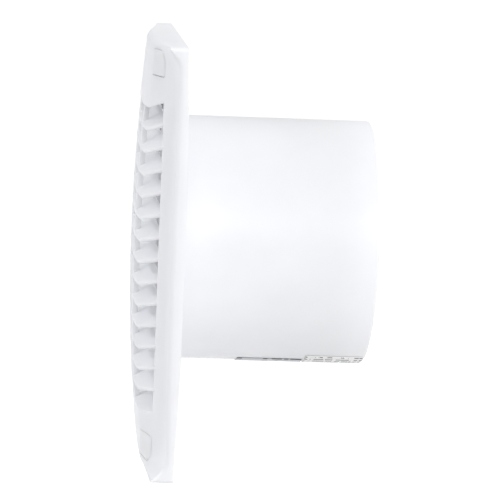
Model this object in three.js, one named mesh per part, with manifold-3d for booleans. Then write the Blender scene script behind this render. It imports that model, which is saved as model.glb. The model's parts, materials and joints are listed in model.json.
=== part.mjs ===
// Bathroom extractor fan, 100 mm axial type: louvred front cover, casing with duct spigot,
// motor on a spider bracket, impeller, back-draught shutter and cable terminals.
// Millimetres, +Z up. The wall is the plane y = 0, the room is at -Y, the duct runs to +Y,
// and the fan turns about the Y axis.
import * as THREE from 'three';
import { mergeVertices } from 'three/addons/utils/BufferGeometryUtils.js';
import Module from 'manifold-3d';

const wasm = await Module();
wasm.setup();

// ---- driving dimensions --------------------------------------------------------------------

const GAP = 0.3; // between pieces that rest on each other

const COVER = {
  half: 82, // half of the square's side
  wall: 2.2,
  back: -0.4, // y of the skirt's rear edge
  corner: 1.5, // radius of the outline's corners
  crown: 18, // depth at the middle
  sideWall: 5, // depth at the left and right edges, before rounding
  sag: 0.00065, // loss of depth per mm² of height
  sideHold: 0.00004, // share of the sideways fall that each mm² of height takes back
  cornerFrom: 68, // height from which the corners stay proud
  cornerHold: 0.8, // share of the sideways fall that is taken back at the very corner
  edgeRoundX: 1.6,
  edgeRoundTop: 4.5,
  edgeRoundBottom: 1.8,
};

const LOUVRE = {
  slots: 14,
  pitch: 8.47,
  halfWidth: 66, // to the blades' ends
  opening: 61.5, // half width of the opening behind them
  sillDepth: 9.6, // depth of the frame at the opening's side edges
  thickness: 2,
  slope: Math.tan(THREE.MathUtils.degToRad(31)),
  chord: 8.5,
  levelAt: -10.05, // y where a blade has its nominal height
  backLimit: -6.4,
  endDip: 0.6,
  collar: 2.2,
  collarBack: -5.8,
  ribX: 22,
  ribWidth: 2,
  ribDepth: 2.4,
  ribSetBack: 0.1,
};

const CAP = { x: 54.2, z: 74.2, halfX: 7.2, halfZ: 4.9, thickness: 1.5 };
const CAP_WELL = { wall: 1.5, floor: -4.2, under: -3 };
const COVER_SCREW = { head: 3, headDepth: 1.7, shank: 1.45, tip: -0.5 };

const PLATE = { half: 77, corner: 14, thickness: 2 };
const DUCT = { outer: 49.5, inner: 47.3, end: 77, inlet: -6.5, chamfer: 0.6 };
const STOP = { radius: 44.8, y: 67.2, thickness: 1.2 }; // ledge that the closed flaps lie against
const WALL_HOLE = { at: 56, radius: 2.4 };

const SHUTTER = { y: 69, pin: 1.25, radius: 46.3, root: 2.6, thickness: 1, lug: 43.5 };
const KNUCKLE = { radius: 2.2, length: 10, onRight: [34, -12], onLeft: [12, -34] };

const SHAFT = { radius: 2, bore: 2.06, front: -7, rear: 56 };
const HUB = { front: -3.5, rear: 16.5, radius: 21, boss: 6, wall: 2 };
const BLADE = {
  count: 7,
  root: 20.3,
  tip: 44,
  thickness: 1.8,
  centre: 6.5,
  camber: 1.6,
  stagger: [50, 27], // degrees, at the root and the tip
  chord: [20, 29],
};
const BRACKET = { front: 18, rear: 20.7, inner: 10, outer: 25, arm: 7, armDepth: 4, pad: 4 };
const FOOT = { radius: 3, at: 19.5, front: 21, rear: 23.6 };
const MOTOR = { front: 23.9, split: 39, rear: 54.2, radius: 28, wall: 1.2 };
const BEARING = { radius: 6, width: 5 };
const CORE = { front: 32, rear: 46, outer: 26.3, yoke: 20.5, bore: 12.5, rotor: 12 };
const POLE = { count: 4, neck: 8, shoeHalfAngle: 0.55 };
const COIL = { inner: 15.4, outer: 19, width: 14, overhang: 3.2 };

const LEAD = { radius: 0.7, offset: 1.3, run: 46.1 };

const TERMINAL = { x: 2, z: -70, width: 24, height: 11, front: -8, back: -2.8 };
const TERMINAL_SCREW = { radius: 1.6, wellFloor: -4.6, spots: [[-6, 3], [6, 3], [-6, -3], [6, -3]] };
const TERMINAL_COVER = { x0: -12, x1: 30, z0: -78.5, z1: -62, front: -9.4, back: -2.8, wall: 1.2 };
const CLAMP = { x: 22, width: 6, length: 12.6, front: -6.4, back: -3.6, screwSpan: 4.4 };
const GROMMET = { x: 37.6, z: -66, bore: 4.5, neck: 6, flange: 7, front: -4, back: -0.3 };

const LABEL = { thickness: 0.3, lift: 0.1 };
const MAKER_STICKER = { y0: 25.5, y1: 51.8, halfAngle: THREE.MathUtils.degToRad(22) };
const RATING_LABEL = { y0: 53, y1: 76, halfAngle: THREE.MathUtils.degToRad(29) };

// ---- materials -----------------------------------------------------------------------------

const material = (color, roughness, metalness = 0) => () =>
  new THREE.MeshStandardMaterial({ color, roughness, metalness });
const whitePlastic = material(0xf2f3f5, 0.32);
const greyPlastic = material(0xc9ccd0, 0.45);
const blackRubber = material(0x26272a, 0.85);
const pressedSteel = material(0xb9bdc2, 0.35, 0.9);
const brightSteel = material(0xcfd2d6, 0.25, 1);
const copper = material(0xb4683a, 0.4, 0.9);
const brass = material(0xc8a24c, 0.35, 0.9);
const paper = material(0xf6f6f4, 0.7);
const silverFoil = material(0xaeb2b7, 0.4, 0.6);
const brownInsulation = material(0x8a3b22, 0.5);
const blueInsulation = material(0x2c5a9c, 0.5);

// ---- solids --------------------------------------------------------------------------------

/** Shared vertices, no collapsed triangles, faces pointing out. */
function closedGeometry(source) {
  const bare = source.clone();
  bare.deleteAttribute('normal');
  bare.deleteAttribute('uv');
  const merged = mergeVertices(bare, 1e-4);
  const position = merged.getAttribute('position');
  const index = merged.index.array;
  const corner = [new THREE.Vector3(), new THREE.Vector3(), new THREE.Vector3()];
  const kept = [];
  let volume = 0;
  for (let i = 0; i < index.length; i += 3) {
    const [a, b, c] = index.slice(i, i + 3);
    if (a === b || b === c || a === c) continue;
    kept.push(a, b, c);
    corner.forEach((v, k) => v.fromBufferAttribute(position, index[i + k]));
    volume += corner[0].dot(corner[1].cross(corner[2]));
  }
  merged.setIndex(volume < 0 ? kept.reverse() : kept);
  merged.computeVertexNormals();
  return merged;
}

function solidOf(geometry) {
  const closed = closedGeometry(geometry);
  const vertProperties = new Float32Array(closed.getAttribute('position').array);
  const triVerts = new Uint32Array(closed.index.array);
  return new wasm.Manifold(new wasm.Mesh({ numProp: 3, vertProperties, triVerts }));
}

function geometryOf(solid) {
  const { vertProperties, triVerts, numProp } = solid.getMesh();
  const indexed = new THREE.BufferGeometry();
  const buffer = new THREE.InterleavedBuffer(vertProperties, numProp);
  indexed.setAttribute('position', new THREE.InterleavedBufferAttribute(buffer, 3, 0));
  indexed.setIndex([...triVerts]);
  return indexed.toNonIndexed();
}

const union = (first, ...others) => others.reduce((sum, other) => sum.add(other), first);

/** A solid of revolution about the Y axis; the profile of [radius, y] closes on itself. */
function turned(profile, segments = 48) {
  const points = [...profile, profile[0]].map(([r, y]) => new THREE.Vector2(r, y));
  return new THREE.LatheGeometry(points, segments);
}

const ring = (inner, outer, y0, y1, segments) =>
  turned([[inner, y0], [outer, y0], [outer, y1], [inner, y1]], segments);

/** A disc with its axis along Y. */
const disc = (radius, y0, y1, segments = 24) =>
  new THREE.CylinderGeometry(radius, radius, y1 - y0, segments).translate(0, (y0 + y1) / 2, 0);

const box = (x0, x1, y0, y1, z0, z1) =>
  new THREE.BoxGeometry(x1 - x0, y1 - y0, z1 - z0).translate((x0 + x1) / 2, (y0 + y1) / 2, (z0 + z1) / 2);

/** A shape drawn in the x-z plane, extruded from y0 to y1. */
function slab(shape, y0, y1, curveSegments = 8) {
  const extruded = new THREE.ExtrudeGeometry(shape, { depth: y1 - y0, bevelEnabled: false, curveSegments });
  return extruded.rotateX(Math.PI / 2).translate(0, y1, 0);
}

function roundedSquare(half, radius) {
  const inset = half - radius;
  const shape = new THREE.Shape();
  for (let k = 0; k < 4; k++) {
    const angle = (k * Math.PI) / 2;
    const cx = inset * (k === 0 || k === 3 ? 1 : -1);
    const cz = inset * (k < 2 ? 1 : -1);
    shape.absarc(cx, cz, radius, angle, angle + Math.PI / 2, false);
  }
  shape.closePath();
  return shape;
}

/** Part of a ring, between two angles in the x-z plane. */
function arcShape(inner, outer, from, to) {
  const shape = new THREE.Shape();
  shape.absarc(0, 0, outer, from, to, false);
  shape.absarc(0, 0, inner, to, from, true);
  shape.closePath();
  return shape;
}

/** A subdivided box whose every corner (u, v, w), each from -0.5 to 0.5, goes where place says. */
function warpedBox(nu, nv, nw, place) {
  const geometry = new THREE.BoxGeometry(1, 1, 1, nu, nv, nw);
  const position = geometry.getAttribute('position');
  for (let i = 0; i < position.count; i++) {
    position.setXYZ(i, ...place(position.getX(i), position.getY(i), position.getZ(i)));
  }
  return geometry;
}

// ---- front cover ---------------------------------------------------------------------------

const COVER_PROFILE = new THREE.SplineCurve([
  new THREE.Vector2(0, COVER.crown),
  new THREE.Vector2(20, COVER.crown - 0.1),
  new THREE.Vector2(34, COVER.crown - 0.6),
  new THREE.Vector2(42, COVER.crown - 1.1),
  new THREE.Vector2(48, COVER.crown - 1.8),
  new THREE.Vector2(52, 14.6),
  new THREE.Vector2(57, 12.8),
  new THREE.Vector2(LOUVRE.halfWidth, 9.6),
  new THREE.Vector2(73, 7),
  new THREE.Vector2(COVER.half, COVER.sideWall),
]);
const PROFILE_POINTS = COVER_PROFILE.getPoints(140);

/** Depth of the cover's section at z = 0, at a distance from the middle. */
function sectionDepth(distance) {
  const after = PROFILE_POINTS.findIndex((p) => p.x >= distance);
  if (after <= 0) return after === 0 ? COVER.crown : COVER.sideWall;
  const [a, b] = [PROFILE_POINTS[after - 1], PROFILE_POINTS[after]];
  return THREE.MathUtils.mapLinear(distance, a.x, b.x, a.y, b.y);
}

/** How far a rounded edge of that radius drops at a distance from the cover's middle. */
function edgeDrop(distance, radius) {
  const past = THREE.MathUtils.clamp(distance - COVER.half + radius, 0, radius);
  return radius - Math.sqrt(radius * radius - past * past);
}

/** Depth of the cover's outer face in front of the wall. */
function coverDepth(x, z) {
  const [across, height] = [Math.abs(x), Math.abs(z)];
  const toCorner = (height - COVER.cornerFrom) / (COVER.half - COVER.cornerFrom);
  const corner = THREE.MathUtils.clamp(toCorner, 0, 1) ** 4;
  const kept = (1 - COVER.sideHold * z * z) * (1 - COVER.cornerHold * corner);
  const fall = (COVER.crown - sectionDepth(across)) * kept;
  const roundZ = z > 0 ? COVER.edgeRoundTop : COVER.edgeRoundBottom;
  const drop = Math.max(edgeDrop(across, COVER.edgeRoundX), edgeDrop(height, roundZ));
  return COVER.crown - COVER.sag * z * z - fall - drop;
}

/** Spreads -0.5..0.5 over -half..half, closer together towards the edges. */
const spread = (t, half) => half * (2.6 * t - 2.4 * t * t * t);

/** A block whose front follows the cover's face, lowered by inset. */
function coverBlock(half, corner, inset, back, cells) {
  const field = warpedBox(cells, 1, cells, (u, v, w) => {
    const x = spread(u, half + 1);
    const z = spread(w, half + 1);
    return [x, v < 0 ? inset - coverDepth(x, z) : back, z];
  });
  const outline = slab(roundedSquare(half, corner), -COVER.crown - 5, back + 5, 4);
  return solidOf(field).intersect(solidOf(outline));
}

/** Moves a height along the blades' slope, from y = LOUVRE.levelAt to y. */
const sloped = (z, y) => z + (y - LOUVRE.levelAt) * LOUVRE.slope;

/** The slanted well that the blades stand in: from far in front to y = back. */
function louvreWell(halfX, grow, back) {
  const halfZ = (LOUVRE.slots * LOUVRE.pitch) / 2 + grow;
  const front = -COVER.crown - 4;
  return warpedBox(1, 1, 1, (u, v, w) => {
    const y = v < 0 ? front : back;
    return [2 * u * halfX, y, sloped(2 * w * halfZ, y)];
  });
}

/** The step inside the slots' ends, where the frame runs on below the blades. */
function louvreSill(side) {
  const halfZ = (LOUVRE.slots * LOUVRE.pitch) / 2;
  const front = -COVER.crown - 4;
  return warpedBox(1, 1, 1, (u, v, w) => {
    const inner = u * side < 0;
    const x = side * (inner ? LOUVRE.opening - 1 : LOUVRE.halfWidth);
    const sill = inner ? LOUVRE.sillDepth : sectionDepth(LOUVRE.halfWidth) - 1;
    const y = v < 0 ? front : -sill;
    return [x, y, sloped(2 * w * halfZ, y)];
  });
}

/** One blade: a sloping strip whose front lip follows the cover's face and dips into the collar. */
function louvreBlade(level) {
  const reach = LOUVRE.halfWidth + LOUVRE.collar / 2;
  return warpedBox(16, 1, 1, (u, v, w) => {
    const x = spread(u, reach);
    const depth = coverDepth(x, level) - LOUVRE.endDip * Math.abs(2 * u) ** 16;
    const y = v < 0 ? -depth : Math.min(LOUVRE.chord - depth, LOUVRE.backLimit);
    return [x, y, sloped(level + w * LOUVRE.thickness, y)];
  });
}

/** An upright rib that ties the blades together, just behind their lips. */
function louvreRib(x) {
  const halfZ = (LOUVRE.slots * LOUVRE.pitch + LOUVRE.collar) / 2;
  return warpedBox(1, 1, 24, (u, v, w) => {
    const depth = coverDepth(x, 2 * w * halfZ) - LOUVRE.ribSetBack;
    const y = v < 0 ? -depth : LOUVRE.ribDepth - depth;
    return [x + u * LOUVRE.ribWidth, y, sloped(2 * w * halfZ, y)];
  });
}

const bladeLevels = Array.from(
  { length: LOUVRE.slots - 1 },
  (_, k) => (k + 1 - LOUVRE.slots / 2) * LOUVRE.pitch,
);

const corners = [[-1, 1], [1, 1], [-1, -1], [1, -1]];

/** The pocket in the cover for one screw and its cap, or the walls around it. */
function capWell(signX, signZ, grow, y) {
  const [x, z] = [signX * CAP.x, signZ * CAP.z];
  const [rx, rz] = [CAP.halfX + GAP + grow, CAP.halfZ + GAP + grow];
  return solidOf(box(x - rx, x + rx, -COVER.crown, y, z - rz, z + rz));
}

function frontGrille() {
  const outer = coverBlock(COVER.half, COVER.corner, 0, COVER.back, 20);
  const hollow = coverBlock(COVER.half - COVER.wall, COVER.corner, COVER.wall, COVER.back + 3, 11);
  const walls = union(
    solidOf(louvreWell(LOUVRE.halfWidth + LOUVRE.collar, LOUVRE.collar, LOUVRE.collarBack)),
    ...corners.map(([sx, sz]) => capWell(sx, sz, CAP_WELL.wall, CAP_WELL.under)),
  ).intersect(outer);
  let cover = outer.subtract(hollow).add(walls);
  const openings = [louvreWell(LOUVRE.opening, 0, 0), louvreSill(1), louvreSill(-1)].map(solidOf);
  cover = cover.subtract(union(...openings));
  for (const [sx, sz] of corners) {
    const screwHole = disc(COVER_SCREW.shank + GAP, CAP_WELL.floor - 1, 0);
    const hole = solidOf(screwHole.translate(sx * CAP.x, 0, sz * CAP.z));
    cover = cover.subtract(capWell(sx, sz, 0, CAP_WELL.floor)).subtract(hole);
  }
  const blades = bladeLevels.map((level) => solidOf(louvreBlade(level)));
  const ribs = [-LOUVRE.ribX, LOUVRE.ribX].map((x) => solidOf(louvreRib(x)));
  return geometryOf(union(cover, ...blades, ...ribs));
}

function screwCap(signX, signZ) {
  return warpedBox(6, 1, 3, (u, v, w) => {
    const x = signX * (CAP.x + 2 * u * CAP.halfX);
    const z = signZ * (CAP.z + 2 * w * CAP.halfZ);
    return [x, (v < 0 ? 0 : CAP.thickness) - coverDepth(x, z), z];
  });
}

/** A screw pointing to +Y: its head's front face is at y = 0. */
function panScrew(headRadius, headDepth, shankRadius, length) {
  const profile = [[0, 0], [headRadius - 0.5, 0], [headRadius, 0.5], [headRadius, headDepth]];
  profile.push([shankRadius, headDepth], [shankRadius, length - 1], [0.4, length], [0, length]);
  const slot = solidOf(box(-headRadius, headRadius, -1, 0.6, -0.4, 0.4));
  return geometryOf(solidOf(turned(profile, 14)).subtract(slot));
}

// ---- casing --------------------------------------------------------------------------------

function ductProfile() {
  const stopFront = STOP.y - STOP.thickness;
  return [
    [DUCT.inner, DUCT.inlet],
    [DUCT.outer, DUCT.inlet],
    [DUCT.outer, DUCT.end - DUCT.chamfer],
    [DUCT.outer - DUCT.chamfer, DUCT.end],
    [DUCT.inner, DUCT.end],
    [DUCT.inner, STOP.y],
    [STOP.radius, STOP.y],
    [STOP.radius, stopFront],
    [DUCT.inner, stopFront - 2],
  ];
}

function casing() {
  const plate = solidOf(slab(roundedSquare(PLATE.half, PLATE.corner), -PLATE.thickness, 0));
  const bore = solidOf(disc(DUCT.inner + 0.8, -10, 5, 64));
  let body = plate.subtract(bore).add(solidOf(turned(ductProfile(), 64)));
  for (const side of [1, -1]) {
    const lug = box(-3, 3, STOP.y - 1, SHUTTER.y + 3.5, SHUTTER.lug, DUCT.inner + 1);
    body = body.add(solidOf(side > 0 ? lug : lug.rotateY(Math.PI)));
  }
  const pinHole = disc(SHUTTER.pin + 0.05, -47.4, 47.4).rotateX(Math.PI / 2).translate(0, SHUTTER.y, 0);
  body = body.subtract(solidOf(pinHole));
  for (const [sx, sz] of corners) {
    const pilot = disc(COVER_SCREW.shank + 0.05, -5, 2).translate(sx * CAP.x, 0, sz * CAP.z);
    const wallHole = disc(WALL_HOLE.radius, -5, 2).translate(sx * WALL_HOLE.at, 0, sz * WALL_HOLE.at);
    body = body.subtract(solidOf(pilot)).subtract(solidOf(wallHole));
  }
  const cableHole = disc(GROMMET.neck + 0.2, -5, 2).translate(GROMMET.x, 0, GROMMET.z);
  const leadNotch = box(-3.4, 3.4, DUCT.inlet - 1, -1.2, -DUCT.outer - 1, -DUCT.inner + 1);
  return geometryOf(body.subtract(solidOf(cableHole)).subtract(solidOf(leadNotch)));
}

/** A label bent round the underside of the spigot. */
function ductLabel({ y0, y1, halfAngle }) {
  const inner = DUCT.outer + LABEL.lift;
  const middle = -Math.PI / 2;
  const shape = arcShape(inner, inner + LABEL.thickness, middle - halfAngle, middle + halfAngle);
  return slab(shape, y0, y1, 10);
}

// ---- back-draught shutter ------------------------------------------------------------------

/** The flap on the +X side; knuckles lists the heights at which it wraps round the pin. */
function shutterFlap(knuckles) {
  const reach = SHUTTER.radius;
  const shape = new THREE.Shape();
  const limit = Math.acos((SHUTTER.root + 2.4) / reach);
  shape.absarc(0, 0, reach, -limit, limit, false);
  shape.lineTo(SHUTTER.root + 2.4, SHUTTER.lug - 1);
  shape.lineTo(SHUTTER.root, SHUTTER.lug - 1);
  shape.lineTo(SHUTTER.root, 1 - SHUTTER.lug);
  shape.lineTo(SHUTTER.root + 2.4, 1 - SHUTTER.lug);
  shape.closePath();
  const half = SHUTTER.thickness / 2;
  let flap = solidOf(slab(shape, SHUTTER.y - half, SHUTTER.y + half, 14));
  for (const z of knuckles) {
    const reachZ = KNUCKLE.length / 2;
    const barrel = disc(KNUCKLE.radius, -reachZ, reachZ, 20).rotateX(Math.PI / 2);
    const web = box(0, SHUTTER.root + 2, SHUTTER.y - half, SHUTTER.y + half, z - reachZ, z + reachZ);
    flap = flap.add(solidOf(barrel.translate(0, SHUTTER.y, z))).add(solidOf(web));
  }
  const hole = disc(SHUTTER.pin + 0.1, -50, 50).rotateX(Math.PI / 2).translate(0, SHUTTER.y, 0);
  return flap.subtract(solidOf(hole));
}

// ---- fan and motor -------------------------------------------------------------------------

function impellerBlade(turn) {
  return warpedBox(6, 1, 4, (u, v, w) => {
    const share = u + 0.5;
    const radius = THREE.MathUtils.lerp(BLADE.root, BLADE.tip, share);
    const stagger = THREE.MathUtils.degToRad(THREE.MathUtils.lerp(...BLADE.stagger, share));
    const chord = THREE.MathUtils.lerp(...BLADE.chord, share);
    const camber = BLADE.camber * (1 - 4 * w * w);
    const along = w * chord;
    const across = v * BLADE.thickness * (1 - 0.6 * Math.abs(w)) + camber;
    const arc = along * Math.cos(stagger) - across * Math.sin(stagger);
    const y = BLADE.centre + along * Math.sin(stagger) + across * Math.cos(stagger);
    const angle = turn + arc / radius;
    return [radius * Math.cos(angle), y, radius * Math.sin(angle)];
  });
}

function impeller() {
  const hub = turned([
    [SHAFT.bore, HUB.front],
    [HUB.radius - 5, HUB.front],
    [HUB.radius - 1.5, HUB.front + 1.8],
    [HUB.radius, HUB.front + 6],
    [HUB.radius, HUB.rear],
    [HUB.radius - HUB.wall, HUB.rear],
    [HUB.radius - HUB.wall, HUB.front + 5],
    [HUB.boss, HUB.front + 3],
    [HUB.boss, HUB.rear - 3],
    [SHAFT.bore, HUB.rear - 3],
  ], 28);
  const turns = Array.from({ length: BLADE.count }, (_, k) => (2 * Math.PI * k) / BLADE.count);
  return geometryOf(union(solidOf(hub), ...turns.map((turn) => solidOf(impellerBlade(turn)))));
}

/** Ring with four arms that reach the spigot's wall. */
function motorBracket() {
  let spider = solidOf(ring(BRACKET.inner, BRACKET.outer, BRACKET.front, BRACKET.rear, 40));
  const reach = DUCT.inner - GAP;
  for (let k = 0; k < 4; k++) {
    const half = BRACKET.arm / 2;
    const front = BRACKET.rear - BRACKET.armDepth;
    const arm = box(BRACKET.outer - 3, reach - 1, front, BRACKET.rear, -half, half);
    const pad = box(reach - BRACKET.pad, reach - 1, front, BRACKET.rear, -half - 2, half + 2);
    const turn = (k * Math.PI) / 2;
    spider = union(spider, solidOf(arm.rotateY(turn)), solidOf(pad.rotateY(turn)));
  }
  const limit = solidOf(disc(reach, 0, 40, 64));
  const leadNotch = solidOf(box(-2.8, 2.8, 0, 40, -DUCT.inner, -LEAD.run + 2.2));
  return geometryOf(spider.intersect(limit).subtract(leadNotch));
}

function motorShell(closedEnd, openEnd) {
  const inward = Math.sign(openEnd - closedEnd) * MOTOR.wall;
  const bearingSeat = BEARING.radius + GAP;
  return turned([
    [bearingSeat, closedEnd],
    [MOTOR.radius - 3, closedEnd],
    [MOTOR.radius, closedEnd + 2.5 * inward],
    [MOTOR.radius, openEnd],
    [MOTOR.radius - MOTOR.wall, openEnd],
    [MOTOR.radius - MOTOR.wall, closedEnd + 2.8 * inward],
    [MOTOR.radius - 3.5, closedEnd + inward],
    [bearingSeat + 1.5, closedEnd + inward],
    [bearingSeat + 1.5, closedEnd + 2.6 * inward],
    [bearingSeat, closedEnd + 2.6 * inward],
  ], 32);
}

function statorCore() {
  let core = solidOf(ring(CORE.yoke, CORE.outer, CORE.front, CORE.rear, 32));
  const shoeOuter = COIL.inner - 2 * GAP;
  for (let k = 0; k < POLE.count; k++) {
    const turn = (k * 2 * Math.PI) / POLE.count;
    const half = POLE.neck / 2;
    const neck = box(shoeOuter - 1, CORE.yoke + 1, CORE.front, CORE.rear, -half, half).rotateY(-turn);
    const [from, to] = [turn - POLE.shoeHalfAngle, turn + POLE.shoeHalfAngle];
    const shoe = slab(arcShape(CORE.bore, shoeOuter, from, to), CORE.front, CORE.rear);
    core = union(core, solidOf(neck), solidOf(shoe));
  }
  return geometryOf(core);
}

/** A winding round one pole's neck. */
function coil() {
  const half = COIL.width / 2;
  const hole = POLE.neck / 2 + GAP;
  const [front, rear] = [CORE.front - COIL.overhang, CORE.rear + COIL.overhang];
  const outside = solidOf(box(COIL.inner, COIL.outer, front, rear, -half, half));
  const inside = box(0, 40, CORE.front - GAP, CORE.rear + GAP, -hole, hole);
  return geometryOf(outside.subtract(solidOf(inside)));
}

/** One motor lead, along the lower arm, forward beside the wall and down to the terminals. */
function motorLead(x) {
  const behindArm = BRACKET.rear + LEAD.radius + 0.5;
  const throughNotch = -4.7;
  const terminalTop = TERMINAL.z + TERMINAL.height / 2 + GAP;
  const route = new THREE.CatmullRomCurve3([
    new THREE.Vector3(x, MOTOR.front + 6, -MOTOR.radius - GAP),
    new THREE.Vector3(x, MOTOR.front + 5, -MOTOR.radius - 2.5),
    new THREE.Vector3(x, behindArm + 1, -MOTOR.radius - 6),
    new THREE.Vector3(x, behindArm + 1, -LEAD.run + 3),
    new THREE.Vector3(x, BRACKET.rear - 1, -LEAD.run),
    new THREE.Vector3(x, 8, -LEAD.run),
    new THREE.Vector3(x, 0, -LEAD.run),
    new THREE.Vector3(x, throughNotch, -LEAD.run - 2.5),
    new THREE.Vector3(x, throughNotch, -DUCT.outer - 4),
    new THREE.Vector3(x, -5.2, terminalTop),
  ], false, 'centripetal');
  const section = new THREE.Shape().absarc(0, 0, LEAD.radius, 0, 2 * Math.PI, false);
  return new THREE.ExtrudeGeometry(section, { extrudePath: route, steps: 26, curveSegments: 4 });
}

// ---- terminals -----------------------------------------------------------------------------

function terminalBlock() {
  const { x, z, width, height, front, back } = TERMINAL;
  const body = box(x - width / 2, x + width / 2, front, back, z - height / 2, z + height / 2);
  let block = solidOf(body);
  for (const [dx, dz] of TERMINAL_SCREW.spots) {
    const well = disc(TERMINAL_SCREW.radius + GAP, front - 1, TERMINAL_SCREW.wellFloor, 16);
    block = block.subtract(solidOf(well.translate(x + dx, 0, z + dz)));
  }
  return geometryOf(block);
}

function terminalCover() {
  const { x0, x1, z0, z1, front, back, wall } = TERMINAL_COVER;
  const inside = box(x0 + wall, x1 - wall, front + wall, back + 1, z0 + wall, z1 - wall);
  const leadNotch = box(-3, 3, -6.6, back + 1, z1 - 2 * wall, z1 + 1);
  const cableNotch = box(x1 - 2 * wall, x1 + 1, -7.6, back + 1, TERMINAL.z - 4, TERMINAL.z + 4);
  const shell = solidOf(box(x0, x1, front, back, z0, z1)).subtract(solidOf(inside));
  return geometryOf(shell.subtract(solidOf(leadNotch)).subtract(solidOf(cableNotch)));
}

function cableClamp() {
  const { x, width, length, front, back, screwSpan } = CLAMP;
  const z = TERMINAL.z;
  let bar = solidOf(box(x - width / 2, x + width / 2, front, back, z - length / 2, z + length / 2));
  for (const side of [-1, 1]) {
    const hole = disc(1.2, front - 1, back + 1, 16).translate(x, 0, z + side * screwSpan);
    bar = bar.subtract(solidOf(hole));
  }
  return geometryOf(bar);
}

function cableGrommet() {
  const step = -PLATE.thickness - GAP;
  return turned([
    [GROMMET.bore, GROMMET.front],
    [GROMMET.flange - 0.6, GROMMET.front],
    [GROMMET.flange, GROMMET.front + 0.6],
    [GROMMET.flange, step],
    [GROMMET.neck, step],
    [GROMMET.neck, GROMMET.back],
    [GROMMET.bore, GROMMET.back],
  ], 20);
}

// ---- assembly ------------------------------------------------------------------------------

const fan = new THREE.Group();
fan.name = 'extractor_fan';

function add(name, geometry, makeMaterial, parent = fan) {
  const mesh = new THREE.Mesh(closedGeometry(geometry), makeMaterial());
  mesh.name = name;
  parent.add(mesh);
  return mesh;
}

add('front_grille', frontGrille(), whitePlastic);
corners.forEach(([sx, sz], k) => {
  add(`screw_cap_${k + 1}`, screwCap(sx, sz), whitePlastic);
  const { head, headDepth, shank, tip } = COVER_SCREW;
  const headFront = CAP_WELL.floor - GAP - headDepth;
  const screw = add(`grille_screw_${k + 1}`, panScrew(head, headDepth, shank, tip - headFront), brightSteel);
  screw.position.set(sx * CAP.x, headFront, sz * CAP.z);
});

add('casing', casing(), whitePlastic);
add('maker_sticker', ductLabel(MAKER_STICKER), silverFoil);
add('rating_label', ductLabel(RATING_LABEL), paper);

add('motor_bracket', motorBracket(), whitePlastic);
for (let k = 0; k < 4; k++) {
  const turn = Math.PI / 4 + (k * Math.PI) / 2;
  const foot = add(`rubber_foot_${k + 1}`, disc(FOOT.radius, FOOT.front, FOOT.rear, 16), blackRubber);
  foot.position.set(FOOT.at * Math.cos(turn), 0, FOOT.at * Math.sin(turn));
}

const motor = new THREE.Group();
fan.add(motor);
add('motor_shell_front', motorShell(MOTOR.front, MOTOR.split - GAP / 2), pressedSteel, motor);
add('motor_shell_rear', motorShell(MOTOR.rear, MOTOR.split + GAP / 2), pressedSteel, motor);
add('stator_core', statorCore(), pressedSteel, motor);
for (let k = 0; k < POLE.count; k++) {
  add(`winding_${k + 1}`, coil(), copper, motor).rotation.y = (2 * Math.PI * k) / POLE.count;
}
const bearing = () => ring(SHAFT.bore, BEARING.radius, 0, BEARING.width, 24);
add('bearing_front', bearing(), brass, motor).position.y = MOTOR.front - 2;
add('bearing_rear', bearing(), brass, motor).position.y = MOTOR.rear + 1 - BEARING.width;

add('motor_shaft', disc(SHAFT.radius, SHAFT.front, SHAFT.rear, 24), brightSteel);
add('rotor_core', ring(SHAFT.bore, CORE.rotor, CORE.front, CORE.rear, 24), pressedSteel);
add('impeller', impeller(), whitePlastic);
add('impeller_nut', ring(SHAFT.bore, 4.2, HUB.front - GAP - 3, HUB.front - GAP, 24), greyPlastic);

const pin = add('shutter_pin', disc(SHUTTER.pin, -47, 47, 20), brightSteel);
pin.rotation.x = Math.PI / 2;
pin.position.y = SHUTTER.y;
const rightFlap = shutterFlap(KNUCKLE.onRight);
const leftFlap = shutterFlap(KNUCKLE.onLeft).mirror([1, 0, 0]);
add('shutter_flap_right', geometryOf(rightFlap), whitePlastic);
add('shutter_flap_left', geometryOf(leftFlap), whitePlastic);

add('motor_lead_brown', motorLead(-LEAD.offset), brownInsulation);
add('motor_lead_blue', motorLead(LEAD.offset), blueInsulation);
add('terminal_block', terminalBlock(), greyPlastic);
TERMINAL_SCREW.spots.forEach(([dx, dz], k) => {
  const screw = add(`terminal_screw_${k + 1}`, panScrew(TERMINAL_SCREW.radius, 1.2, 1, 2.6), brass);
  screw.position.set(TERMINAL.x + dx, TERMINAL.front + 0.2, TERMINAL.z + dz);
});
add('terminal_cover', terminalCover(), whitePlastic);
add('cable_clamp', cableClamp(), greyPlastic);
[-1, 1].forEach((side, k) => {
  const screw = add(`clamp_screw_${k + 1}`, panScrew(1.9, 1.2, 1, 4.2), brightSteel);
  screw.position.set(CLAMP.x, CLAMP.front - 1.2 - GAP / 2, TERMINAL.z + side * CLAMP.screwSpan);
});
add('cable_grommet', cableGrommet(), blackRubber).position.set(GROMMET.x, 0, GROMMET.z);

export default fan;
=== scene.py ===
"""Bathroom extractor fan: the looks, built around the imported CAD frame.

Row frame in metres: +Z up, the wall is the plane y = 0, the room is at -Y and the duct runs to
+Y. Shapes are worked out in millimetres and scaled once, when a mesh is made.
"""

import json
import math

import bmesh
import bpy
import numpy as np
from mathutils import Matrix, Vector


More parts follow.
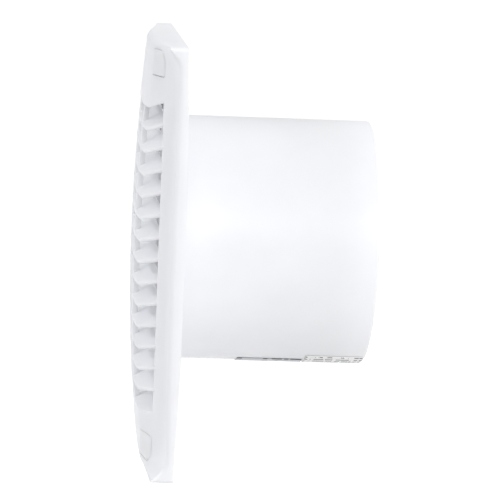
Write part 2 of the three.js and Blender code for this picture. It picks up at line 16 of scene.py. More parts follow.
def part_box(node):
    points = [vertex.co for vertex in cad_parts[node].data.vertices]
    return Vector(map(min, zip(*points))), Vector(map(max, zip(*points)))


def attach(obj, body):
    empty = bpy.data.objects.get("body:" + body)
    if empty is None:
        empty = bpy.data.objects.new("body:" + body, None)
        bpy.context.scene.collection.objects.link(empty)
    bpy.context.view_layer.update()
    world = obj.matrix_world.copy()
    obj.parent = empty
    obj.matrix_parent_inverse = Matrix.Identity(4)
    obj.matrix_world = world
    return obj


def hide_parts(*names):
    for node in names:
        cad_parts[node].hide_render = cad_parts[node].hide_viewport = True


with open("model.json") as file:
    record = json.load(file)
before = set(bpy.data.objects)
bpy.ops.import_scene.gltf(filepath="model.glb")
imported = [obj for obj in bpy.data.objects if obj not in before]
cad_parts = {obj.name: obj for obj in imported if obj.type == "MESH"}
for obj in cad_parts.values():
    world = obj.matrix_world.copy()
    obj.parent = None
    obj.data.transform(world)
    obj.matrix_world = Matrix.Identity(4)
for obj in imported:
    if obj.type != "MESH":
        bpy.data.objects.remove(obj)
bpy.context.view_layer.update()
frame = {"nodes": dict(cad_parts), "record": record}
MM = 0.001

# ---- driving sizes, in millimetres ------------------------------------------------------------


def node_box(node):
    """Lowest and highest corner of a CAD node in millimetres."""
    return [np.array(corner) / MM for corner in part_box(node)]


COVER_LOW, COVER_HIGH = node_box("front_grille")
CASING_LOW, CASING_HIGH = node_box("casing")

HALF = COVER_HIGH[0]
CROWN = -COVER_LOW[1]
COVER_BACK = -0.4
COVER_WALL = 2.2
IN_FRONT = -CROWN - 4
SIDE_WALL = 5.0
SAG = 0.00065
SIDE_HOLD = 0.00004
CORNER_FROM = 68.0
CORNER_HOLD = 0.8
SKIRT_CORNER = 1.5
SKIRT_CROWN = 1.2
EDGE_ROUND_SIDE = 1.6
EDGE_ROUND_TOP = 4.5
EDGE_ROUND_BOTTOM = 1.8

LOUVRE_SLOTS = 14
LOUVRE_PITCH = 8.47
LOUVRE_HALF = 66.0
LOUVRE_OPENING = 61.5
LOUVRE_SILL = 9.6
LOUVRE_SLOPE = math.tan(math.radians(31))
LOUVRE_CHORD = 8.5
LOUVRE_LEVEL = -10.05
LOUVRE_BACK = -6.4
LOUVRE_THICK = 2.0
LOUVRE_END_DIP = 0.7
LOUVRE_CORE_STEP = 0.9
COLLAR = 2.2
COLLAR_BACK = -5.8
RIB_X = 22.0
RIB_WIDTH = 2.0
RIB_DEPTH = 2.4
RIB_SET_BACK = 0.1

CAP_X, CAP_Z = 54.2, 74.2
CAP_HALF_X, CAP_HALF_Z = 7.2, 4.9
CAP_GAP = 0.18
CAP_THICK = 1.5
CAP_LARGE_CORNER, CAP_SMALL_CORNER = 3.2, 0.9
SCREW_HOLE = 1.75
CAP_PROUD = 0.25
CAP_RINGS = [(0, 0.5), (0.015, 0.3), (0.05, 0.12), (0.11, 0.02), (0.3, 0), (0.6, 0), (0.9, 0)]
WELL_WALL = 1.5
WELL_FLOOR = -4.2
WELL_BACK = -3.0

DUCT_OUTER = 49.5
DUCT_INNER = 47.3
DUCT_END = CASING_HIGH[1]
DUCT_INLET = CASING_LOW[1]
PLATE_HALF = CASING_HIGH[0]
PLATE_CORNER = 14.0
PLATE_THICK = 2.0
PLATE_RELIEF = 1.1
PLATE_RELIEF_FROM = 36.0

SHUTTER_STOP = 67.2
STOP_INNER = 44.8
STOP_THICK = 1.2
STOP_SLOPE = 2.0
LUG_HALF = 3.0
LUG_INNER = 43.5
LUG_END = 72.5
PIN_Y = 69.0
PIN_HOLE = 1.3
WALL_HOLE_AT = 56.0
WALL_HOLE = 2.4
PILOT_HOLE = 1.5
CABLE_HOLE = 6.2
NOTCH_HALF = 3.4
NOTCH_END = -1.2

SMOOTH_ANGLE = 32
SOFT_EDGE = 0.18

CORNERS = [(-1, 1), (1, 1), (-1, -1), (1, -1)]

# ---- mesh helpers -----------------------------------------------------------------------------


def mesh_object(name, points, faces, smooth_angle=35):
    """An object from points in millimetres, with its faces turned outwards."""
    mesh = bpy.data.meshes.new(name)
    mesh.from_pydata([tuple(p) for p in np.asarray(points) * MM], [], [tuple(f) for f in faces])
    obj = bpy.data.objects.new(name, mesh)
    bpy.context.scene.collection.objects.link(obj)
    tidy_mesh(mesh)
    shade(obj, smooth_angle)
    return obj


def tidy_mesh(mesh):
    """Joins doubled points and turns the faces outwards."""
    edit = bmesh.new()
    edit.from_mesh(mesh)
    bmesh.ops.remove_doubles(edit, verts=edit.verts, dist=1e-7)
    bmesh.ops.dissolve_degenerate(edit, edges=edit.edges, dist=1e-8)
    bmesh.ops.recalc_face_normals(edit, faces=edit.faces)
    edit.to_mesh(mesh)
    edit.free()


def shade(obj, angle):
    """Smooth shading, with edges sharper than angle kept crisp."""
    obj.data.shade_smooth()
    obj.data.set_sharp_from_angle(angle=math.radians(angle))


def grid_faces(rows, columns, start=0, wrap_rows=False, wrap_columns=False):
    """Quads between the points of a grid numbered row by row."""
    faces = []
    for i in range(rows if wrap_rows else rows - 1):
        for j in range(columns if wrap_columns else columns - 1):
            i2, j2 = (i + 1) % rows, (j + 1) % columns
            corner = [(i, j), (i, j2), (i2, j2), (i2, j)]
            faces.append([start + a * columns + b for a, b in corner])
    return faces


def fillet(corners, steps=5):
    """A closed outline with its corners (a, b, radius) turned into arcs of points."""
    outline = []
    count = len(corners)
    for k, (a, b, radius) in enumerate(corners):
        here = np.array([a, b], float)
        before = np.array(corners[k - 1][:2], float) - here
        after = np.array(corners[(k + 1) % count][:2], float) - here
        if radius <= 0:
            outline.append(here)
            continue
        u, w = before / np.linalg.norm(before), after / np.linalg.norm(after)
        half = math.acos(np.clip(u @ w, -1, 1)) / 2
        trim = radius / math.tan(half)
        centre = here + (u + w) / np.linalg.norm(u + w) * radius / math.sin(half)
        start, end = here + u * trim - centre, here + w * trim - centre
        turn = math.pi - 2 * half
        for s in range(steps + 1):
            t = s / steps
            mix = (math.sin((1 - t) * turn) * start + math.sin(t * turn) * end) / math.sin(turn)
            outline.append(centre + mix)
    return outline


def turned(name, corners, segments=128, smooth_angle=35):
    """A solid of revolution about Y from a closed outline of (radius, y, fillet)."""
    outline = fillet(corners)
    points = []
    for r, y in outline:
        for k in range(segments):
            angle = 2 * math.pi * k / segments
            points.append((r * math.cos(angle), y, r * math.sin(angle)))
    faces = grid_faces(len(outline), segments, wrap_rows=True, wrap_columns=True)
    return mesh_object(name, points, faces, smooth_angle)


def prism(name, outline, y0, y1, smooth_angle=35):
    """An outline of (x, z) points extruded from y0 to y1."""
    count = len(outline)
    points = [(x, y, z) for y in (y0, y1) for x, z in outline]
    faces = [list(range(count)), list(range(2 * count - 1, count - 1, -1))]
    faces += grid_faces(2, count, wrap_columns=True)
    return mesh_object(name, points, faces, smooth_angle)


def block(name, x0, x1, y0, y1, z0, z1):
    return prism(name, [(x0, z0), (x1, z0), (x1, z1), (x0, z1)], y0, y1)


def rounded_rectangle(cx, cz, half_x, half_z, radii, steps=6):
    """Outline with one corner radius for each of +x+z, -x+z, -x-z and +x-z."""
    signs = [(1, 1), (-1, 1), (-1, -1), (1, -1)]
    return fillet([(cx + sx * half_x, cz + sz * half_z, r) for (sx, sz), r in zip(signs, radii)], steps)


def bake_modifiers(obj):
    """Puts the result of the modifiers into the object's own mesh."""
    graph = bpy.context.evaluated_depsgraph_get()
    made = bpy.data.meshes.new_from_object(obj.evaluated_get(graph))
    made.name = obj.name
    obj.modifiers.clear()
    obj.data = made


def combine(target, others, operation):
    """Joins the other solids to target, or cuts them from it, and removes them."""
    for other in others:
        step = target.modifiers.new("boolean", "BOOLEAN")
        step.operation = operation
        step.solver = "MANIFOLD"
        step.object = other
        bake_modifiers(target)
        bpy.data.objects.remove(other)
    return target


# ---- materials --------------------------------------------------------------------------------


class Surface:
    """A Principled material whose colour, roughness and relief come from procedural nodes."""

    def __init__(self, name, roughness, metallic=0.0, **constants):
        self.material = bpy.data.materials.new(name)
        self.material.use_nodes = True
        self.nodes = self.material.node_tree.nodes
        self.links = self.material.node_tree.links
        self.shader = self.nodes["Principled BSDF"]
        self.shader.inputs["Roughness"].default_value = roughness
        self.shader.inputs["Metallic"].default_value = metallic
        for socket, value in constants.items():
            self.shader.inputs[socket.replace("_", " ")].default_value = value
        self.place = self.nodes.new("ShaderNodeTexCoord").outputs["Object"]

    def mapped(self, scale):
        """Object coordinates stretched by a scale for each axis."""
        mapping = self.nodes.new("ShaderNodeMapping")
        mapping.inputs["Scale"].default_value = scale
        self.links.new(self.place, mapping.inputs["Vector"])
        return mapping.outputs["Vector"]

    def noise(self, scale, detail=4.0, stretch=(1, 1, 1), roughness=0.5):
        node = self.nodes.new("ShaderNodeTexNoise")
        node.inputs["Scale"].default_value = scale
        node.inputs["Detail"].default_value = detail
        node.inputs["Roughness"].default_value = roughness
        self.links.new(self.mapped(stretch), node.inputs["Vector"])
        return node.outputs["Fac"]

    def bands(self, scale, axis, distortion=0.0):
        node = self.nodes.new("ShaderNodeTexWave")
        node.wave_type = "BANDS"
        node.bands_direction = axis
        node.inputs["Scale"].default_value = scale
        node.inputs["Distortion"].default_value = distortion
        self.links.new(self.place, node.inputs["Vector"])
        return node.outputs["Fac"]

    def colour(self, factor, low, high, span=(0.35, 0.65)):
        ramp = self.nodes.new("ShaderNodeValToRGB")
        for stop, position, shade_of in zip(ramp.color_ramp.elements, span, (low, high)):
            stop.position = position
            stop.color = (*shade_of, 1)
        self.links.new(factor, ramp.inputs["Fac"])
        self.links.new(ramp.outputs["Color"], self.shader.inputs["Base Color"])
        return self

    def roughness(self, factor, low, high):
        spread = self.nodes.new("ShaderNodeMapRange")
        spread.inputs["From Min"].default_value = 0.3
        spread.inputs["From Max"].default_value = 0.7
        spread.inputs["To Min"].default_value = low
        spread.inputs["To Max"].default_value = high
        self.links.new(factor, spread.inputs["Value"])
        self.links.new(spread.outputs["Result"], self.shader.inputs["Roughness"])
        return self

    def relief(self, *layers):
        """Bump from layers of (height, depth in metres), one on the other."""
        normal = None
        for height, depth in layers:
            bump = self.nodes.new("ShaderNodeBump")
            bump.inputs["Distance"].default_value = depth
            self.links.new(height, bump.inputs["Height"])
            if normal is not None:
                self.links.new(normal, bump.inputs["Normal"])
            normal = bump.outputs["Normal"]
        self.links.new(normal, self.shader.inputs["Normal"])
        return self


ABS_SCATTER = {"Subsurface_Weight": 0.6, "Subsurface_Scale": 0.003, "Subsurface_Radius": (1, 1, 1)}


def white_abs():
    """Satin white ABS: faint cloudiness, fine eroded grain and slow moulding waviness."""
    surface = Surface("white_abs", 0.34, IOR=1.53, **ABS_SCATTER)
    cloud = surface.noise(38, 3)
    surface.colour(cloud, (0.842, 0.85, 0.872), (0.868, 0.874, 0.892))
    surface.roughness(surface.noise(90, 3), 0.38, 0.46)
    return surface.relief((surface.noise(5200, 2), 6e-6), (surface.noise(55, 2), 4e-5)).material


def grey_nylon():
    surface = Surface("grey_nylon", 0.5, IOR=1.5)
    surface.colour(surface.noise(120), (0.5, 0.51, 0.53), (0.58, 0.59, 0.6))
    return surface.relief((surface.noise(2600, 3), 2e-5)).material


def black_rubber():
    surface = Surface("black_rubber", 0.75)
    surface.colour(surface.noise(300), (0.02, 0.02, 0.022), (0.045, 0.045, 0.048))
    surface.roughness(surface.noise(160), 0.65, 0.85)
    return surface.relief((surface.noise(3000, 5), 4e-5)).material


def pressed_steel():
    """Zinc-plated pressed steel: fine rolling streaks and cloudy plating."""
    surface = Surface("pressed_steel", 0.35, 1.0)
    surface.colour(surface.noise(140, 5), (0.5, 0.51, 0.53), (0.66, 0.67, 0.68))
    surface.roughness(surface.noise(60, 4, (1, 14, 1)), 0.28, 0.46)
    return surface.relief((surface.noise(900, 4, (1, 10, 1)), 1.2e-5)).material


def laminated_core():
    """Stacked steel laminations, seen as fine bands along the shaft."""
    surface = Surface("laminated_core", 0.45, 0.9)
    sheets = surface.bands(320, "Y", 0.4)
    surface.colour(sheets, (0.13, 0.13, 0.14), (0.42, 0.42, 0.44), (0.2, 0.7))
    return surface.relief((sheets, 6e-5)).material


def bright_steel():
    surface = Surface("bright_steel", 0.22, 1.0)
    surface.colour(surface.noise(200, 4), (0.6, 0.61, 0.63), (0.78, 0.78, 0.79))
    surface.roughness(surface.noise(700, 4, (1, 20, 1)), 0.16, 0.3)
    return surface.relief((surface.noise(2200, 3, (1, 20, 1)), 6e-6)).material


def copper_winding():
    """Enamelled wire wound round the poles, turn beside turn."""
    surface = Surface("copper_winding", 0.3, 0.85, Coat_Weight=0.4, Coat_Roughness=0.2)
    turns = surface.bands(620, "Y", 1.2)
    surface.colour(turns, (0.24, 0.08, 0.03), (0.62, 0.28, 0.12), (0.15, 0.6))
    return surface.relief((turns, 1.6e-4)).material


def turned_brass():
    surface = Surface("turned_brass", 0.28, 1.0)
    surface.colour(surface.noise(160, 4), (0.6, 0.42, 0.16), (0.76, 0.57, 0.26))
    return surface.relief((surface.noise(1800, 3, (1, 16, 1)), 1e-5)).material


def printed_surface(name, paper, ink, roughness, metallic, line_pitch, word_scale):
    """A label with plain rows of bars where a real one has print."""
    surface = Surface(name, roughness, metallic)
    rows = surface.bands(0.314 / line_pitch, "X")
    words = surface.noise(word_scale, 2, (0.12, 1, 0.12))
    edge = surface.nodes.new("ShaderNodeMath")
    edge.operation = "GREATER_THAN"
    edge.inputs[1].default_value = 0.72
    surface.links.new(rows, edge.inputs[0])
    gaps = surface.nodes.new("ShaderNodeMath")
    gaps.operation = "GREATER_THAN"
    gaps.inputs[1].default_value = 0.52
    surface.links.new(words, gaps.inputs[0])
    printed = surface.nodes.new("ShaderNodeMath")
    printed.operation = "MULTIPLY"
    surface.links.new(edge.outputs[0], printed.inputs[0])
    surface.links.new(gaps.outputs[0], printed.inputs[1])
    surface.colour(printed.outputs[0], paper, ink, (0.0, 1.0))
    return surface.relief((surface.noise(1500, 3), 8e-6)).material


def label_paper():
    return printed_surface("label_paper", (0.83, 0.83, 0.82), (0.06, 0.06, 0.065), 0.55, 0.0, 0.0031, 420)


def label_foil():
    return printed_surface("label_foil", (0.42, 0.43, 0.45), (0.09, 0.09, 0.1), 0.4, 0.6, 0.0042, 300)


def insulation(name, low, high):
    surface = Surface(name, 0.4, IOR=1.5)
    surface.colour(surface.noise(240), low, high)
    return surface.relief((surface.noise(1400, 3), 1.5e-5)).material


SLOT_MATERIALS = {
    "white_abs": white_abs(),
    "grey_nylon": grey_nylon(),
    "black_rubber": black_rubber(),
    "motor_steel": pressed_steel(),
    "core_steel": laminated_core(),
    "screw_steel": bright_steel(),
    "copper_wire": copper_winding(),
    "brass": turned_brass(),
    "label_paper": label_paper(),
    "label_foil": label_foil(),
    "brown_insulation": insulation("brown_insulation", (0.2, 0.06, 0.03), (0.27, 0.09, 0.045)),
    "blue_insulation": insulation("blue_insulation", (0.03, 0.11, 0.4), (0.05, 0.16, 0.5)),
}
NODE_SLOTS = {row["node"]: row["material_slot"] for row in frame["record"]["subparts"]}


def stand_for(piece, node, body="casing"):
    """Makes a piece the visible form of a CAD node."""
    slot = NODE_SLOTS[node]
    piece.data.materials.clear()
    piece.data.materials.append(SLOT_MATERIALS[slot])
    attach(piece, body)
    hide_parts(node)
    return piece


# ---- front cover ------------------------------------------------------------------------------

SECTION = np.array(
    [
        (0, CROWN),
        (20, CROWN - 0.1),
        (34, CROWN - 0.6),
        (42, CROWN - 1.1),
        (48, CROWN - 1.8),
        (52, 14.6),
        (57, 12.8),
        (LOUVRE_HALF, 9.6),
        (73, 7.0),
        (HALF, SIDE_WALL),
    ]
)


def section_depth(distance):
    """Depth of the cover's section at mid height: a cubic curve through SECTION."""
    x, y = SECTION.T
    slope = np.gradient(y, x)
    slope[0] = 0
    k = np.clip(np.searchsorted(x, distance) - 1, 0, len(x) - 2)
    width = x[k + 1] - x[k]
    t = np.clip((distance - x[k]) / width, 0, 1)
    start = (1 + 2 * t) * (1 - t) ** 2 * y[k] + t * (1 - t) ** 2 * width * slope[k]
    end = t * t * (3 - 2 * t) * y[k + 1] + t * t * (t - 1) * width * slope[k + 1]
    return start + end


def outside_square(x, z, half, radius):
    """Distance outside a square with rounded corners; negative inside it."""
    px = np.abs(x) - (half - radius)
    pz = np.abs(z) - (half - radius)
    beyond = np.hypot(np.maximum(px, 0), np.maximum(pz, 0))
    return beyond + np.minimum(np.maximum(px, pz), 0) - radius


def edge_drop(distance, radius):
    """How far a rounded edge drops at a distance from the cover's middle."""
    past = np.clip(distance - HALF + radius, 0, radius)
    return radius - np.sqrt(radius * radius - past * past)


def cover_depth(x, z):
    """Depth of the cover's outer face in front of the wall."""
    across, height = np.abs(np.asarray(x, float)), np.abs(np.asarray(z, float))
    corner = np.clip((height - CORNER_FROM) / (HALF - CORNER_FROM), 0, 1) ** 4
    kept = (1 - SIDE_HOLD * height**2) * (1 - CORNER_HOLD * corner)
    fall = (CROWN - section_depth(across)) * kept
    top, bottom = edge_drop(height, EDGE_ROUND_TOP), edge_drop(height, EDGE_ROUND_BOTTOM)
    drop = np.maximum(edge_drop(across, EDGE_ROUND_SIDE), np.where(np.asarray(z) > 0, top, bottom))
    return CROWN - SAG * height**2 - fall - drop


def spread(count, half):
    """Positions from -half to half, closer together towards the edges."""
    t = np.linspace(-0.5, 0.5, count)
    return half * (2.6 * t - 2.4 * t**3)


def cover_block(name, half, corner, inset, count, back):
    """A closed block whose front is the cover's face, lowered by inset."""
    x, z = np.meshgrid(spread(count, half), spread(count, half), indexing="ij")
    x, z = x.ravel(), z.ravel()
    out = np.maximum(outside_square(x, z, half, corner), 0)
    cx = np.sign(x) * (half - corner)
    cz = np.sign(z) * (half - corner)
    reach = np.maximum(np.hypot(x - cx, z - cz), 1e-9)
    pull = np.where(out > 0, out / reach, 0)
    x, z = x + (cx - x) * pull, z + (cz - z) * pull
    front = np.column_stack([x, inset - cover_depth(x, z), z])
    ring = [i * count for i in range(count)]
    ring += [(count - 1) * count + j for j in range(1, count)]
    ring += [i * count + count - 1 for i in range(count - 2, -1, -1)]
    ring += list(range(count - 2, 0, -1))
    rear = front[ring].copy()
    rear[:, 1] = back(rear[:, 0], rear[:, 2])
    first = len(front)
    sides = [
        (ring[k], ring[(k + 1) % len(ring)], first + (k + 1) % len(ring), first + k)
        for k in range(len(ring))
    ]
    centre = [0, float(rear[:, 1].max()), 0]
    points = np.vstack([front, rear, centre])
    hub = len(points) - 1
    fan = [(first + (k + 1) % len(ring), first + k, hub) for k in range(len(ring))]
    return mesh_object(name, points, grid_faces(count, count) + sides + fan)


def skirt_back(x, z):
    """The skirt's rear edge, which bows a little forward towards the top and bottom."""
    return COVER_BACK - SKIRT_CROWN * (z / HALF) ** 2


def sloped(z, y):
    """A height moved along the blades' slope, from y = LOUVRE_LEVEL to y."""
    return z + (y - LOUVRE_LEVEL) * LOUVRE_SLOPE


def slanted_block(name, x0, x1, front, back0, back1, grow=0.0):
    """A block whose top and bottom follow the blades' slope; back0 and back1 are at x0 and x1."""
    half = LOUVRE_SLOTS * LOUVRE_PITCH / 2 + grow
    points = []
    for x, back in ((x0, back0), (x1, back1)):
        for y in (front, back):
            points += [(x, y, sloped(-half, y)), (x, y, sloped(half, y))]
    faces = [(0, 1, 3, 2), (4, 6, 7, 5), (0, 2, 6, 4), (1, 5, 7, 3), (0, 4, 5, 1), (2, 3, 7, 6)]
    return mesh_object(name, points, faces)


def louvre_blade(level):
    """One blade: a sloping strip with a round lip that follows the cover's face."""
    reach = LOUVRE_HALF + COLLAR / 2
    stations = spread(91, reach)
    half = LOUVRE_THICK / 2 * math.cos(math.atan(LOUVRE_SLOPE))
    lip_turns = [math.radians(90 + 180 * k / 8) for k in range(9)]
    rear_turns = [math.radians(-90 + 180 * k / 4) for k in range(5)]
    points = []
    for x in stations:
        dip = LOUVRE_END_DIP * abs(x / reach) ** 24
        depth = float(cover_depth(x, level)) - dip
        lip = -depth + half
        rear = min(LOUVRE_CHORD - depth, LOUVRE_BACK) - half / 2
        points += [blade_point(x, level, lip, half, turn) for turn in lip_turns]
        points += [blade_point(x, level, rear, half, turn) for turn in rear_turns]
    section = len(lip_turns) + len(rear_turns)
    faces = grid_faces(len(stations), section, wrap_columns=True)
    faces += [list(range(section)), list(range(len(points) - 1, len(points) - section - 1, -1))]
    return mesh_object("blade", points, faces)


def louvre_rib(x):
    """An upright rib with a round front that ties the blades together just behind their lips."""
    half_z = (LOUVRE_SLOTS * LOUVRE_PITCH + COLLAR) / 2
    radius = RIB_WIDTH / 2
    section = [(-radius, RIB_DEPTH), (radius, RIB_DEPTH)]
    for k in range(9):
        angle = math.pi * k / 8
        section.append((radius * math.cos(angle), radius - radius * math.sin(angle)))
    points = []
    levels = np.linspace(-half_z, half_z, 61)
    for level in levels:
        front = RIB_SET_BACK - float(cover_depth(x, level))
        points += [(x + dx, front + dy, sloped(level, front + dy)) for dx, dy in section]
    count = len(section)
    faces = grid_faces(len(levels), count, wrap_columns=True)
    faces += [list(range(count)), list(range(len(points) - 1, len(points) - count - 1, -1))]
    return mesh_object("rib", points, faces)


def blade_point(x, level, y, radius, angle):
    """A point on the round edge of a blade, whose section leans with the slope."""
    lean = math.atan(LOUVRE_SLOPE)
    along, across = radius * math.cos(angle), radius * math.sin(angle)
    dy = along * math.cos(lean) - across * math.sin(lean)
    dz = along * math.sin(lean) + across * math.cos(lean)
    return (x, y + dy, sloped(level, y) + dz)


def cap_outline(sx, sz, grow):
    """A cap's outline: its corner towards the cover's own corner is the rounder one."""
    large, small = CAP_LARGE_CORNER + grow, CAP_SMALL_CORNER + grow
    radii = [large if (sx, sz) == signs else small for signs in [(1, 1), (-1, 1), (-1, -1), (1, -1)]]
    half_x, half_z = CAP_HALF_X + grow, CAP_HALF_Z + grow
    return rounded_rectangle(sx * CAP_X, sz * CAP_Z, half_x, half_z, radii)


def cover_walls(mask):
    """The collar round the louvres and the wells of the caps, trimmed to the cover's outside."""
    reach = LOUVRE_HALF + COLLAR
    walls = slanted_block("walls", -reach, reach, IN_FRONT, COLLAR_BACK, COLLAR_BACK, COLLAR)
    grow = CAP_GAP + WELL_WALL
    wells = [prism("well", cap_outline(sx, sz, grow), -CROWN, WELL_BACK) for sx, sz in CORNERS]
    combine(walls, wells, "UNION")
    return combine(walls, [mask], "INTERSECT")


def cover_openings():
    """What is cut out of the cover: the louvre well with its side steps, pockets and screw holes."""
    edge = LOUVRE_CORE_STEP - float(section_depth(np.array(LOUVRE_HALF)))
    inner = LOUVRE_OPENING - 1
    openings = [
        slanted_block("opening", -LOUVRE_OPENING, LOUVRE_OPENING, IN_FRONT, 1.0, 1.0),
        slanted_block("sill", inner, LOUVRE_HALF, IN_FRONT, -LOUVRE_SILL, edge),
        slanted_block("sill", -LOUVRE_HALF, -inner, IN_FRONT, edge, -LOUVRE_SILL),
    ]
    for sx, sz in CORNERS:
        openings.append(prism("pocket", cap_outline(sx, sz, CAP_GAP), IN_FRONT, WELL_FLOOR))
        openings.append(round_hole(sx * CAP_X, sz * CAP_Z, SCREW_HOLE))
    return openings


def front_cover():
    cover = cover_block("front_grille_moulding", HALF, SKIRT_CORNER, 0, 201, skirt_back)
    inside = (HALF - COVER_WALL, SKIRT_CORNER, COVER_WALL, 81)
    hollow = cover_block("hollow", *inside, lambda x, z: np.full_like(x, 3.0))
    mask = cover.copy()
    mask.data = cover.data.copy()
    bpy.context.scene.collection.objects.link(mask)
    walls = cover_walls(mask)
    combine(cover, [hollow], "DIFFERENCE")
    combine(cover, [walls], "UNION")
    combine(cover, cover_openings(), "DIFFERENCE")
    levels = [(k - LOUVRE_SLOTS / 2) * LOUVRE_PITCH for k in range(1, LOUVRE_SLOTS)]
    combine(cover, [louvre_blade(level) for level in levels], "UNION")
    combine(cover, [louvre_rib(side * RIB_X) for side in (-1, 1)], "UNION")
    shade(cover, SMOOTH_ANGLE)
    return stand_for(cover, "front_grille")


def round_hole(x, z, radius, y0=-30.0, y1=30.0):
    outline = [
        (x + radius * math.cos(2 * math.pi * k / 40), z + radius * math.sin(2 * math.pi * k / 40))
        for k in range(40)
    ]
    return prism("hole", outline, y0, y1)


def screw_cap(index, sx, sz):
    """A snap-in cap, following the cover's face, with softened edges."""
    outline = np.array(cap_outline(sx, sz, 0))
    centre = np.array([sx * CAP_X, sz * CAP_Z])
    points, rows = [], 0
    for shrink, drop in CAP_RINGS:
        for x, z in centre + (outline - centre) * (1 - shrink):
            points.append((x, -float(cover_depth(x, z)) - CAP_PROUD + drop, z))
        rows += 1
    for x, z in outline:
        points.append((x, -float(cover_depth(x, z)) + CAP_THICK, z))
    count = len(outline)
    faces = grid_faces(rows, count, wrap_columns=True)
    faces += [[k, (k + 1) % count, rows * count + (k + 1) % count, rows * count + k] for k in range(count)]
    faces.append([(rows - 1) * count + k for k in range(count)])
    faces.append([rows * count + k for k in range(count)])
    cap = mesh_object(f"screw_cap_{index}_moulding", points, faces, 50)
    return stand_for(cap, f"screw_cap_{index}")


# ---- casing -----------------------------------------------------------------------------------


def plate_relief(side):
    """A wedge that takes the plate's back away towards its top or bottom, as the skirt bows."""
    near, far = PLATE_RELIEF_FROM, PLATE_HALF + 1
    edges = [(0, near), (1, near), (1, far), (-PLATE_RELIEF, far)]
    points = [(x, y, side * z) for x in (-PLATE_HALF - 1, PLATE_HALF + 1) for y, z in edges]
    faces = [(0, 1, 2, 3), (4, 7, 6, 5), (0, 4, 5, 1), (1, 5, 6, 2), (2, 6, 7, 3), (3, 7, 4, 0)]
    return mesh_object("relief", points, faces)


def spigot():
    """The round tube, with the ledge that the shutter's flaps close against."""
    ledge = SHUTTER_STOP - STOP_THICK
    corners = [
        (DUCT_INNER, DUCT_INLET, 0.8),
        (DUCT_OUTER, DUCT_INLET, 0.8),
        (DUCT_OUTER, DUCT_END, 0.7),
        (DUCT_INNER, DUCT_END, 0.5),
        (DUCT_INNER, SHUTTER_STOP, 0.3),
        (STOP_INNER, SHUTTER_STOP, 0.3),
        (STOP_INNER, ledge, 0.3),
        (DUCT_INNER, ledge - STOP_SLOPE, 1.0),
    ]
    return turned("tube", corners, 192)


def pin_lug(side):
    """The lug that holds one end of the shutter's pin."""
    z0, z1 = side * LUG_INNER, side * (DUCT_INNER + 1)
    return block("lug", -LUG_HALF, LUG_HALF, SHUTTER_STOP - 1, LUG_END, z0, z1)


def casing_holes():
    """Holes for the shutter's pin, the cover's screws, the wall screws and the cable."""
    pin_hole = round_hole(0, -PIN_Y, PIN_HOLE, -DUCT_INNER - 0.1, DUCT_INNER + 0.1)
    pin_hole.data.transform(Matrix.Rotation(math.pi / 2, 4, "X"))
    holes = [pin_hole]
    for sx, sz in CORNERS:
        holes.append(round_hole(sx * CAP_X, sz * CAP_Z, PILOT_HOLE))
        holes.append(round_hole(sx * WALL_HOLE_AT, sz * WALL_HOLE_AT, WALL_HOLE))
    low, high = node_box("cable_grommet")
    cable = (low + high) / 2
    holes.append(round_hole(cable[0], cable[2], CABLE_HOLE))
    bottom, top = -DUCT_OUTER - 1, 1 - DUCT_INNER
    holes.append(block("notch", -NOTCH_HALF, NOTCH_HALF, DUCT_INLET - 1, NOTCH_END, bottom, top))
    return holes


def casing_moulding():
    """Back plate and spigot in one moulding, with the lugs for the shutter's pin."""
    outline = rounded_rectangle(0, 0, PLATE_HALF, PLATE_HALF, [PLATE_CORNER] * 4, 12)
    plate = prism("casing_moulding", outline, -PLATE_THICK, 0)
    combine(plate, [plate_relief(side) for side in (-1, 1)], "DIFFERENCE")
    combine(plate, [round_hole(0, 0, DUCT_INNER + 0.8)], "DIFFERENCE")
    combine(plate, [spigot(), pin_lug(-1), pin_lug(1)], "UNION")
    combine(plate, casing_holes(), "DIFFERENCE")
    shade(plate, 30)
    return stand_for(plate, "casing")


# ---- CAD nodes that stay ----------------------------------------------------------------------


def smoothing_group():
    """Geometry nodes that shade a mesh smooth but keep its sharper edges."""
    group = bpy.data.node_groups.new("smooth_by_angle", "GeometryNodeTree")
    group.interface.new_socket("Geometry", in_out="INPUT", socket_type="NodeSocketGeometry")
    group.interface.new_socket("Geometry", in_out="OUTPUT", socket_type="NodeSocketGeometry")
    nodes, links = group.nodes, group.links
    start, end = nodes.new("NodeGroupInput"), nodes.new("NodeGroupOutput")
    plain = nodes.new("GeometryNodeRemoveAttribute")
    plain.inputs["Name"].default_value = "custom_normal"
    faces = nodes.new("GeometryNodeSetShadeSmooth")
    edges = nodes.new("GeometryNodeSetShadeSmooth")
    edges.domain = "EDGE"
    edges.inputs["Shade Smooth"].default_value = False
    angle = nodes.new("GeometryNodeInputMeshEdgeAngle")
    sharper = nodes.new("FunctionNodeCompare")
    sharper.operation = "GREATER_THAN"
    sharper.inputs["B"].default_value = math.radians(SMOOTH_ANGLE)
    links.new(start.outputs[0], plain.inputs["Geometry"])
    links.new(plain.outputs["Geometry"], faces.inputs["Geometry"])
    links.new(faces.outputs["Geometry"], edges.inputs["Geometry"])
    links.new(angle.outputs["Unsigned Angle"], sharper.inputs["A"])
    links.new(sharper.outputs["Result"], edges.inputs["Selection"])
    links.new(edges.outputs["Geometry"], end.inputs[0])
    return group


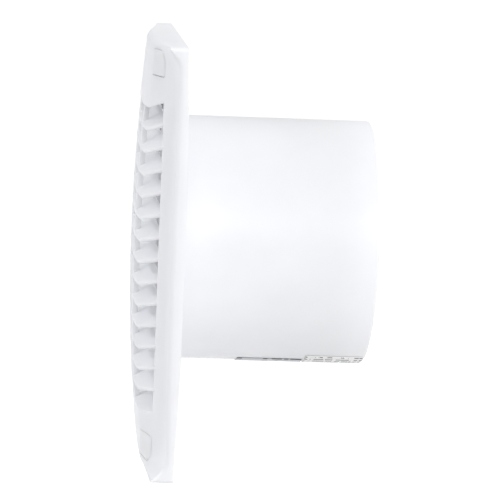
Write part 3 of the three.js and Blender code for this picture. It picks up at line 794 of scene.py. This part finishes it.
def dress_cad_nodes():
    """Gives each CAD node that is still shown its material, soft edges and smooth shading."""
    group = smoothing_group()
    for name, obj in frame["nodes"].items():
        if obj.hide_render:
            continue
        obj.data.materials.clear()
        obj.data.materials.append(SLOT_MATERIALS[NODE_SLOTS[name]])
        weld = obj.modifiers.new("weld", "WELD")
        weld.merge_threshold = 1e-6
        soft = obj.modifiers.new("soft_edges", "BEVEL")
        soft.width = SOFT_EDGE * MM
        soft.segments = 2
        soft.limit_method = "ANGLE"
        soft.angle_limit = math.radians(40)
        obj.modifiers.new("smooth", "NODES").node_group = group


# ---- stage, in metres -------------------------------------------------------------------------

CAMERA_AZIMUTH = math.radians(85.3)
CAMERA_ELEVATION = math.radians(8.94)
CAMERA_ROLL = math.radians(2.45)
CAMERA_DISTANCE = 0.8975
CAMERA_TARGET = Vector((0, 0.0305, -0.00485))
CAMERA_LENS = 157.9

SKY_LEVEL = 0.83
SKY_LEAN = (0.26, 0.42, 0.05)
SKY_TINT = (0.99, 0.99, 1.0, 1)

KEY = {"place": (1.4, 0.16, 0.6), "aim": (0, 0.04, 0), "size": (0.8, 0.12), "power": 3.6}
FRONT = {"place": (-0.45, -1.2, 0.65), "aim": (0, 0, 0), "size": (0.7, 0.3), "power": 8.5}
INSIDE = {"place": (0, -0.0072, 0), "aim": (0, -1, 0), "size": (0.11, 0.11), "power": 0.017}
FRONT_TINT = (0.96, 0.97, 1)


def add_camera():
    back = Vector(
        (
            math.sin(CAMERA_AZIMUTH) * math.cos(CAMERA_ELEVATION),
            -math.cos(CAMERA_AZIMUTH) * math.cos(CAMERA_ELEVATION),
            math.sin(CAMERA_ELEVATION),
        )
    )
    right = Vector((0, 0, 1)).cross(back).normalized()
    up = back.cross(right)
    turned_right = math.cos(CAMERA_ROLL) * right + math.sin(CAMERA_ROLL) * up
    turned_up = math.cos(CAMERA_ROLL) * up - math.sin(CAMERA_ROLL) * right
    camera = bpy.data.objects.new("camera", bpy.data.cameras.new("camera"))
    bpy.context.scene.collection.objects.link(camera)
    camera.data.lens = CAMERA_LENS
    camera.data.clip_start = 0.01
    camera.data.clip_end = 50
    place = CAMERA_TARGET + back * CAMERA_DISTANCE
    axes = Matrix((turned_right, turned_up, back)).transposed().to_4x4()
    camera.matrix_world = Matrix.Translation(place) @ axes
    bpy.context.scene.camera = camera


def add_light(name, place, aim, size, power, tint=(1, 1, 1)):
    lamp = bpy.data.lights.new(name, "AREA")
    lamp.shape = "RECTANGLE"
    lamp.size, lamp.size_y = size
    lamp.energy = power
    lamp.color = tint
    obj = bpy.data.objects.new(name, lamp)
    bpy.context.scene.collection.objects.link(obj)
    obj.location = place
    obj.rotation_euler = (Vector(aim) - Vector(place)).to_track_quat("-Z", "Y").to_euler()
    return obj


def add_sky():
    """A world that grows brighter towards SKY_LEAN."""
    world = bpy.data.worlds.new("studio")
    world.use_nodes = True
    bpy.context.scene.world = world
    nodes, links = world.node_tree.nodes, world.node_tree.links
    backdrop = nodes["Background"]
    backdrop.inputs["Color"].default_value = SKY_TINT
    direction = nodes.new("ShaderNodeTexCoord").outputs["Generated"]
    lean = nodes.new("ShaderNodeVectorMath")
    lean.operation = "DOT_PRODUCT"
    lean.inputs[1].default_value = SKY_LEAN
    total = nodes.new("ShaderNodeMath")
    total.operation = "ADD"
    total.inputs[1].default_value = SKY_LEVEL
    links.new(direction, lean.inputs[0])
    links.new(lean.outputs["Value"], total.inputs[0])
    links.new(total.outputs["Value"], backdrop.inputs["Strength"])


def add_lights():
    """A long key light, a weaker front light, and a faint one behind the louvres."""
    add_light("key", **KEY)
    add_light("front", **FRONT, tint=FRONT_TINT)
    inside = add_light("inside", **INSIDE)
    inside.visible_camera = False
    inside.visible_glossy = False


def add_floor():
    half, level = 15000, -300
    points = [(-half, -half, level), (half, -half, level), (half, half, level), (-half, half, level)]
    floor = mesh_object("floor", points, [(0, 1, 2, 3)])
    paint = Surface("floor_paint", 0.9, Emission_Color=(1, 1, 1, 1), Emission_Strength=0.25)
    paint.colour(paint.noise(3, 2), (0.93, 0.93, 0.93), (0.95, 0.95, 0.95))
    floor.data.materials.append(paint.material)
    floor.visible_diffuse = False


# ---- assembly ---------------------------------------------------------------------------------

front_cover()
for number, (sign_x, sign_z) in enumerate(CORNERS, 1):
    screw_cap(number, sign_x, sign_z)
casing_moulding()
dress_cad_nodes()
add_floor()
add_sky()
add_lights()
add_camera()
bpy.context.scene.view_settings.view_transform = "Standard"
